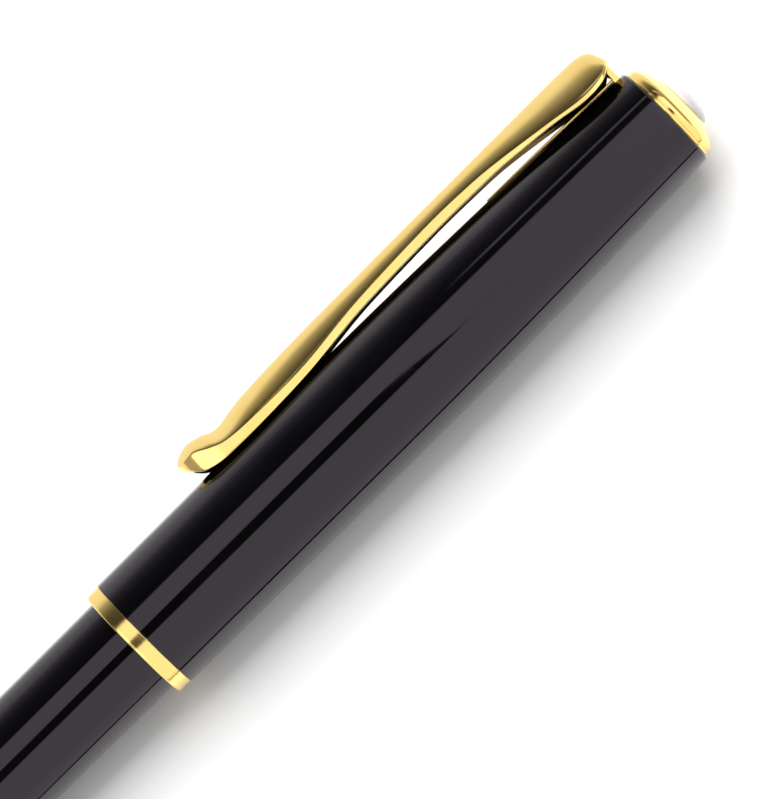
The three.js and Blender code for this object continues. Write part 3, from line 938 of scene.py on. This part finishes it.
dress(barrel_thread_bush(), "barrel", "plain_brass", "barrel_thread_bush")
dress(barrel_end_bush(), "barrel", "plain_brass", "barrel_end_bush")
dress(barrel_end_plug(), "barrel", "gold_plate", "barrel_end_plug")

spring = refill_spring()
dress(spring, None, "steel", "refill_spring")
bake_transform(spring)


# ---- floor, light and camera ----

CAMERA_TURN = math.radians(94.5)  # from the clip's direction, about the pen's axis
TOWARDS_CAMERA = np.array([0, math.cos(CAMERA_TURN), math.sin(CAMERA_TURN)])
ALONG = np.array([1.0, 0, 0])
ACROSS = np.array([0, math.sin(CAMERA_TURN), -math.cos(CAMERA_TURN)])
PEN_SLOPE = math.radians(44.79)  # of the pen's axis in the picture, rising to the right
CAMERA_DISTANCE = 600
CAMERA_AIM = ALONG * 29.13 - ACROSS * 0.15
FOCAL_LENGTH = 324.4
FLOOR_HALF_WIDTH = 4  # metres
TENT_R = 480
TENT_HALF_LENGTH = 700
TENT_FLOOR_GAP = 0.4
TENT_STRENGTH = 1.22
LAMP_DISTANCE = 400
LAMP_LENGTH = 600
LAMP_X = 29
WORLD_STRENGTH = 0.42


def plain_material(name, colour):
    finish = Finish(name, Roughness=0.9, Specular_IOR_Level=0.1)
    finish.feed("Base Color", finish.ramp(finish.noise(40, detail=2), (0.3, colour * 0.985), (0.7, colour)))
    return finish.material


def floor():
    size = FLOOR_HALF_WIDTH
    mesh = bpy.data.meshes.new("floor")
    corners = [(-size, -size, 0), (size, -size, 0), (size, size, 0), (-size, size, 0)]
    mesh.from_pydata(corners, [], [(0, 1, 2, 3)])
    mesh.materials.append(plain_material("pale_floor", 0.86))
    ground = bpy.data.objects.new("floor", mesh)
    bpy.context.scene.collection.objects.link(ground)
    return ground


def tent_glow(turn, x):
    """Brightness of the light tent at an angle about the pen's axis from +Y, in degrees. A dark
    stripe narrows towards the crown, a gleam lights the crown and a side lamp the tent's two ends."""
    stripe = 87.2 + 17 * share((x - 30) / 30)
    bands = [  # where a change of level starts and ends, and the level after it
        (-17, -6, 0.8),
        (-6, 4, 0.35),
        (4, 13, 0.2),
        (13, 22, 0.11),
        (22, 31, 0.06),
        (31, 51, 0.03),
        (54.5, 57.5, 1),
        (stripe, stripe + 0.8, 0.03),
        (104.4, 105.2, 1),
        (186.5, 187.2, 0),
    ]
    level = 0.85
    for start, end, target in bands:
        level += (target - level) * share((turn - start) / (end - start))
    gleam = math.exp(-(((turn - 40) / 2.2) ** 4)) * share((x - 62) / 14)
    side_lamp = math.exp(-(((turn - 92) / 36) ** 4)) * share((abs(x - 20) - 110) / 60)
    return level + 0.9 * gleam + 0.6 * side_lamp


def light_tent():
    """A sheet of light over the pen, and just above the floor on both sides of it, that only its
    glossy surfaces see."""
    turns = sorted({
        *np.arange(-27, 190, 3.0),
        *np.arange(36, 45, 1.0),
        *np.arange(86, 107, 0.4),
        *(54.5, 57.5, 186.5, 187.2),
    })
    xs = sorted({*np.linspace(-TENT_HALF_LENGTH, TENT_HALF_LENGTH, 29), *np.arange(14, 92, 2.0)})
    floor_depth = MOUTH[2] / MM - TENT_FLOOR_GAP
    points, glow = [], []
    for x in xs:
        for turn in turns:
            a = math.radians(turn)
            reach = min(TENT_R, floor_depth / max(-math.sin(a), 1e-9))
            points.append((x, reach * math.cos(a), reach * math.sin(a)))
            glow.append(tent_glow(turn, x))
    n = len(turns)
    faces = [
        (r * n + i, r * n + i + 1, (r + 1) * n + i + 1, (r + 1) * n + i)
        for r in range(len(xs) - 1)
        for i in range(n - 1)
    ]
    mesh = bpy.data.meshes.new("light_tent")
    mesh.from_pydata((np.array(points) * MM + MOUTH).tolist(), [], faces)
    mesh.attributes.new("glow", "FLOAT", "POINT").data.foreach_set("value", glow)
    material = bpy.data.materials.new("tent_light")
    material.use_nodes = True
    tree = material.node_tree
    tree.nodes.clear()
    level = tree.nodes.new("ShaderNodeAttribute")
    level.attribute_name = "glow"
    emission = tree.nodes.new("ShaderNodeEmission")
    emission.inputs["Strength"].default_value = TENT_STRENGTH
    output = tree.nodes.new("ShaderNodeOutputMaterial")
    tree.links.new(level.outputs["Fac"], emission.inputs["Color"])
    tree.links.new(emission.outputs["Emission"], output.inputs["Surface"])
    mesh.materials.append(material)
    tent = bpy.data.objects.new("light_tent", mesh)
    bpy.context.scene.collection.objects.link(tent)
    tent.visible_camera = False
    tent.visible_diffuse = False
    tent.visible_shadow = False
    tent.visible_transmission = False
    return tent


def set_down(thing, axes, place):
    """Turns an object to three axes and moves it to a place in the pen's frame."""
    rows = [[*row, p] for row, p in zip(np.stack(axes, 1), place * MM + MOUTH)]
    thing.matrix_world = Matrix(rows + [[0, 0, 0, 1]])


def area_light(name, turn, width, power):
    """A soft light over the pen at an angle about its axis from +Y, in degrees."""
    light = bpy.data.lights.new(name, "AREA")
    light.shape = "RECTANGLE"
    light.size, light.size_y = LAMP_LENGTH * MM, width * MM
    light.energy = power
    lamp = bpy.data.objects.new(name, light)
    bpy.context.scene.collection.objects.link(lamp)
    a = math.radians(turn)
    back = np.array([0, math.cos(a), math.sin(a)])
    set_down(lamp, [ALONG, np.cross(back, ALONG), back], ALONG * LAMP_X + back * LAMP_DISTANCE)
    lamp.visible_glossy = False
    return lamp


def world_light():
    world = bpy.data.worlds.new("studio")
    bpy.context.scene.world = world
    world.use_nodes = True
    background = world.node_tree.nodes["Background"]
    background.inputs["Color"].default_value = (1, 1, 1, 1)
    background.inputs["Strength"].default_value = WORLD_STRENGTH


def camera():
    lens = bpy.data.cameras.new("camera")
    lens.lens = FOCAL_LENGTH
    lens.sensor_width = 36
    lens.clip_start = 0.01
    lens.dof.use_dof = False
    eye = bpy.data.objects.new("camera", lens)
    bpy.context.scene.collection.objects.link(eye)
    right = ALONG * math.cos(PEN_SLOPE) - ACROSS * math.sin(PEN_SLOPE)
    up = ALONG * math.sin(PEN_SLOPE) + ACROSS * math.cos(PEN_SLOPE)
    set_down(eye, [right, up, TOWARDS_CAMERA], CAMERA_AIM + TOWARDS_CAMERA * CAMERA_DISTANCE)
    bpy.context.scene.camera = eye


floor()
light_tent()
area_light("key", 60, 270, 2.2)
area_light("top", 88, 210, 0.35)
area_light("low", 34, 170, 2.2)
world_light()
camera()
bpy.context.scene.view_settings.view_transform = "Standard"
